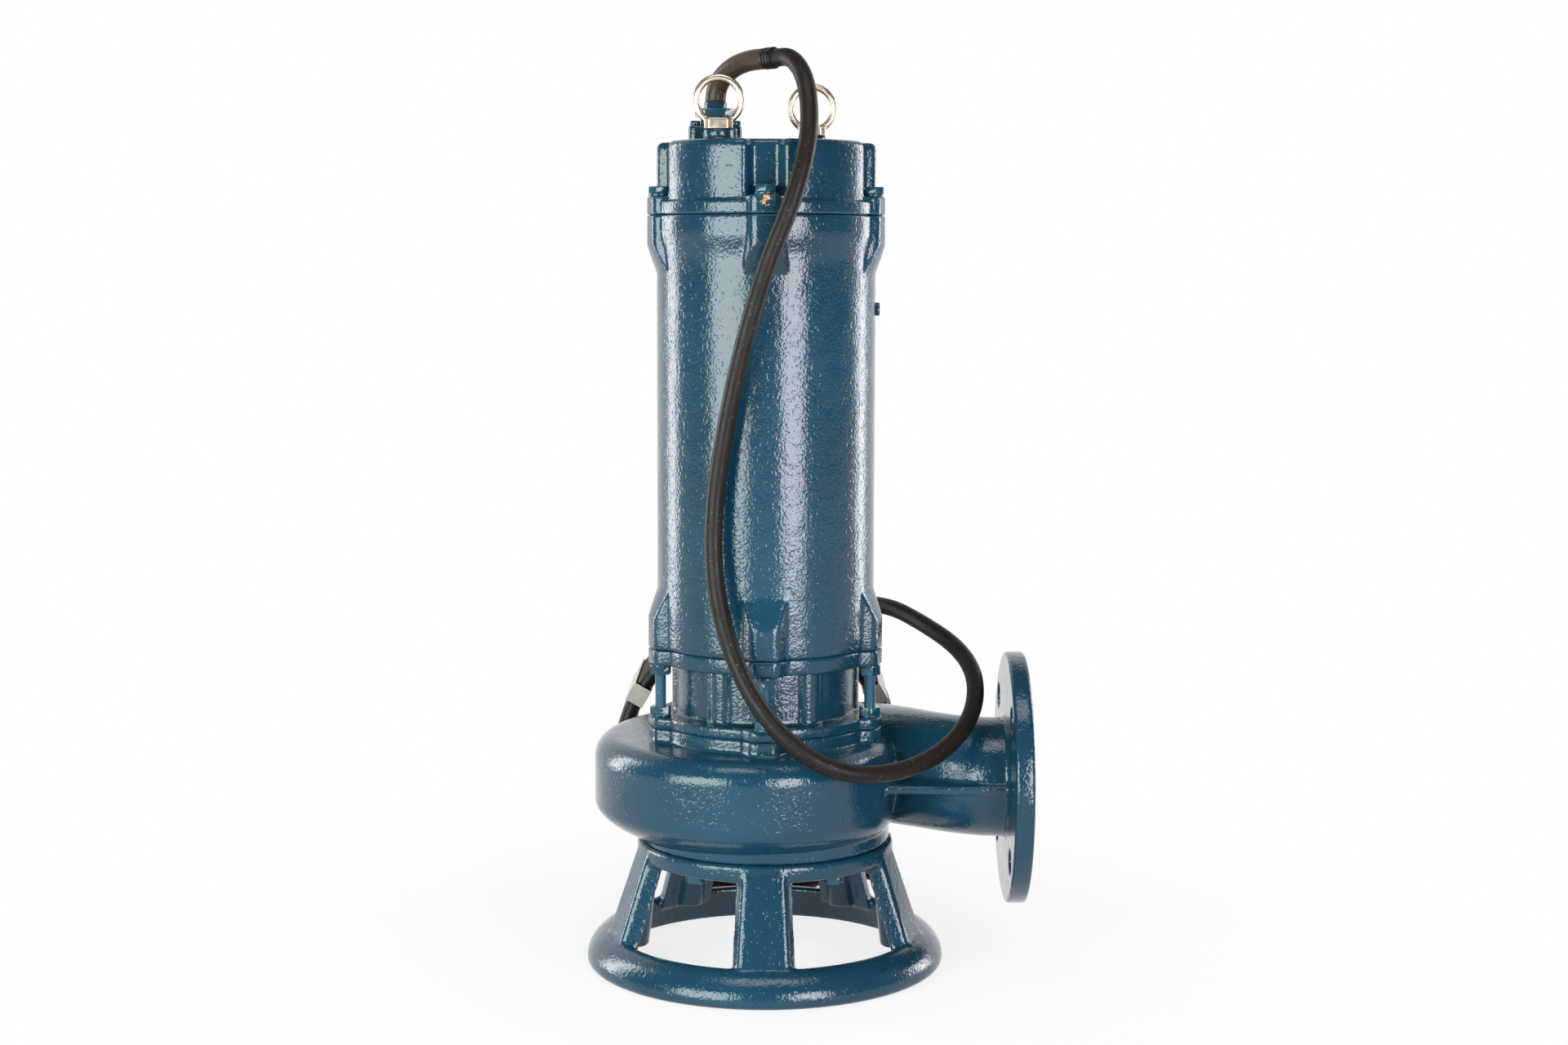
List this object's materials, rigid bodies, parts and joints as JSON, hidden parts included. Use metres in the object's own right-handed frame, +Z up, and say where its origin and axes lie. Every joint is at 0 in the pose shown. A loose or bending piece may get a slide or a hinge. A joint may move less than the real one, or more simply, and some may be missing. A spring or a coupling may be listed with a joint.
{
  "type": "submersible sewage pump",
  "caption": "Submersible sewage pump on a ring stand, with a scroll casing and flanged side outlet, oil chamber, sealed motor casing, lifting eyes and its power cable.",
  "frame": {"origin": "on the floor under the foot ring, on the shaft axis", "axes": "+Z up along the shaft, +X out of the discharge flange, -Y towards the viewer of the picture"},
  "size_m": [0.3315, 0.4058, 0.6852],
  "materials": {
    "casting": "glossy petrol-blue paint over a rough sand-cast skin",
    "painted_fasteners": "the same petrol-blue paint sprayed over the steel fasteners",
    "bare_steel": "bright forged steel with light scratches",
    "gland_metal": "painted brass with worn corners",
    "cable_rubber": "dull rubber with light dust",
    "tape": "matt tape",
    "core_insulation": "plain core insulation in four colours",
    "seal_rubber": "soft black rubber",
    "seal_faces": "lapped silicon carbide and graphite faces",
    "machined_steel": "ground and turned steel",
    "grey_iron": "bare grey cast iron with a fine cast skin",
    "bronze": "turned bronze",
    "lamination_steel": "varnished stack of steel sheets",
    "copper_winding": "varnished copper wire with lacing"
  },
  "bodies": {
    "pump": {"base_stand": "casting", "volute_casing": "casting", "oil_chamber": "casting", "bearing_housing": "casting", "motor_casing": "casting", "top_cover": "casting", "gland_flange": "casting", "base_bolts": "painted_fasteners", "lower_nuts": "painted_fasteners", "upper_nuts": "painted_fasteners", "studs": "painted_fasteners", "cover_bolts": "painted_fasteners", "cover_washers": "painted_fasteners", "side_screw": "painted_fasteners", "gland_screws": "painted_fasteners", "eyebolt_front": "bare_steel", "eyebolt_rear": "bare_steel", "gland_nut": "gland_metal", "inner_cable": "cable_rubber", "cable_sleeve": "cable_rubber", "power_cable": "cable_rubber", "cable_coil": "cable_rubber", "cable_tail": "cable_rubber", "cable_band": "tape", "coil_ties": "tape", "cable_cores": "core_insulation", "gland_grommet": "seal_rubber", "volute_o_ring": "seal_rubber", "chamber_o_ring": "seal_rubber", "casing_o_ring": "seal_rubber", "cover_o_ring": "seal_rubber", "lower_seal_seat": "seal_faces", "upper_seal_seat": "seal_faces", "oil_plug": "machined_steel", "bearing_cover": "machined_steel", "bearing_cover_screws": "machined_steel", "wave_washer": "machined_steel", "lower_outer_race": "machined_steel", "upper_outer_race": "machined_steel", "upper_bearing_bracket": "grey_iron", "wear_ring": "bronze", "stator_core": "lamination_steel", "stator_winding": "copper_winding"},
    "rotor": {"shaft": "machined_steel", "impeller": "grey_iron", "impeller_key": "machined_steel", "impeller_washer": "machined_steel", "impeller_bolt": "machined_steel", "lower_seal_head": "seal_faces", "seal_spring": "machined_steel", "upper_seal_head": "seal_faces", "lower_inner_race": "machined_steel", "upper_inner_race": "machined_steel", "circlip": "machined_steel", "rotor_core": "lamination_steel"},
    "lower_cage": {"lower_balls": "machined_steel"},
    "upper_cage": {"upper_balls": "machined_steel"}
  },
  "joints": [
    {"name": "rotor_spin", "type": "hinge", "parent": "pump", "child": "rotor", "pos_m": [0, 0, 0.3], "axis": [0, 0, -1], "continuous": true},
    {"name": "lower_cage_spin", "type": "hinge", "parent": "pump", "child": "lower_cage", "pos_m": [0, 0, 0.2545], "axis": [0, 0, -1], "continuous": true},
    {"name": "upper_cage_spin", "type": "hinge", "parent": "pump", "child": "upper_cage", "pos_m": [0, 0, 0.5355], "axis": [0, 0, -1], "continuous": true}
  ],
  "couplings": [
    {"joint": "lower_cage_spin", "follows": "rotor_spin", "ratio": 0.385},
    {"joint": "upper_cage_spin", "follows": "rotor_spin", "ratio": 0.376}
  ]
}
